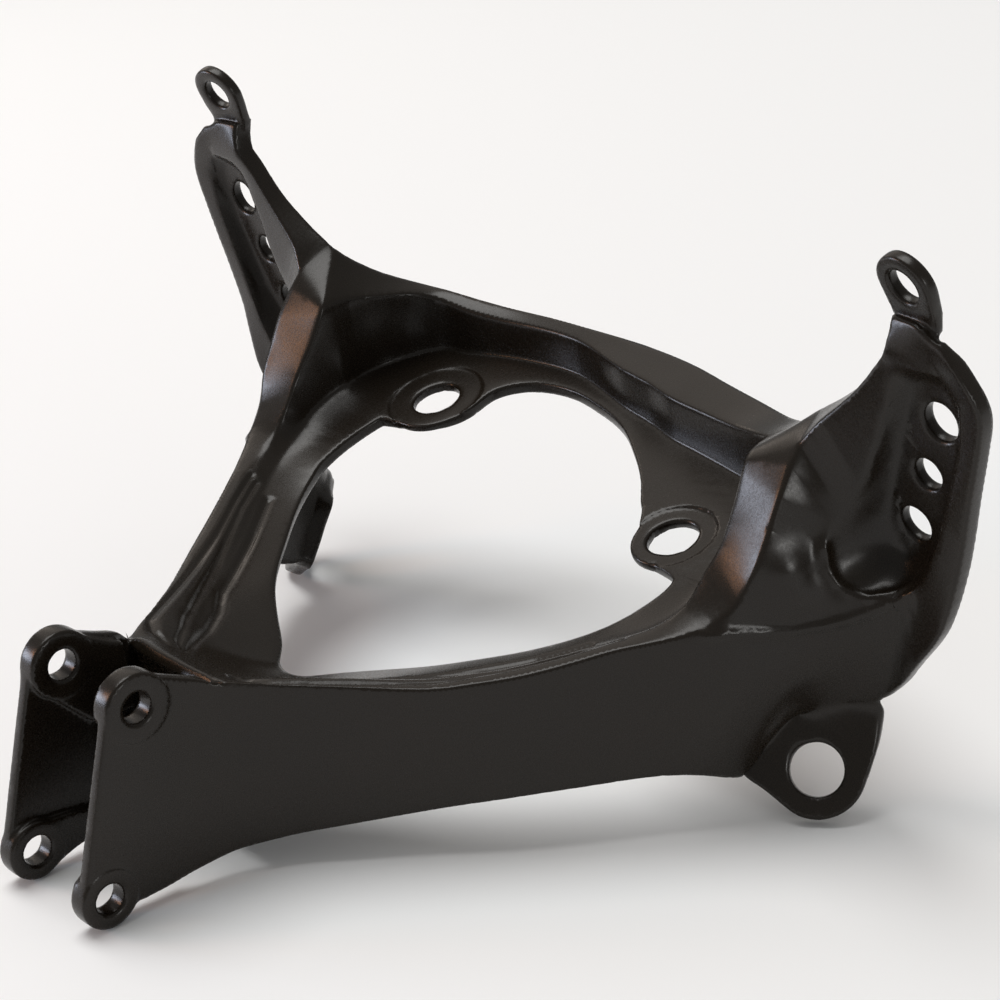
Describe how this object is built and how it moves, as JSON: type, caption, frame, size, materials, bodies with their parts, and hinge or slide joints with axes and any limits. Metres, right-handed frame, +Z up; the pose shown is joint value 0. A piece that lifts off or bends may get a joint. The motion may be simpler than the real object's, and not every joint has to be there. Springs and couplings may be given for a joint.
{
  "type": "motorcycle fairing stay",
  "caption": "Black-coated cast stay with a rear fork, two arms round a ring-shaped opening, a cross member and two upright wings with mirror and fairing holes.",
  "frame": {"origin": "under the middle of the stay's box, level with its four feet: the lower ends of the fork and the front lugs", "axes": "+X to the side, from wing to wing; +Y forward, from the fork towards the cross member; +Z up"},
  "size_m": [0.3446, 0.2374, 0.1746],
  "materials": {
    "coated_casting": "satin black coat over cast aluminium, with the casting's fine grain showing through"
  },
  "bodies": {
    "root": {"fairing_stay": "coated_casting"}
  },
  "joints": []
}
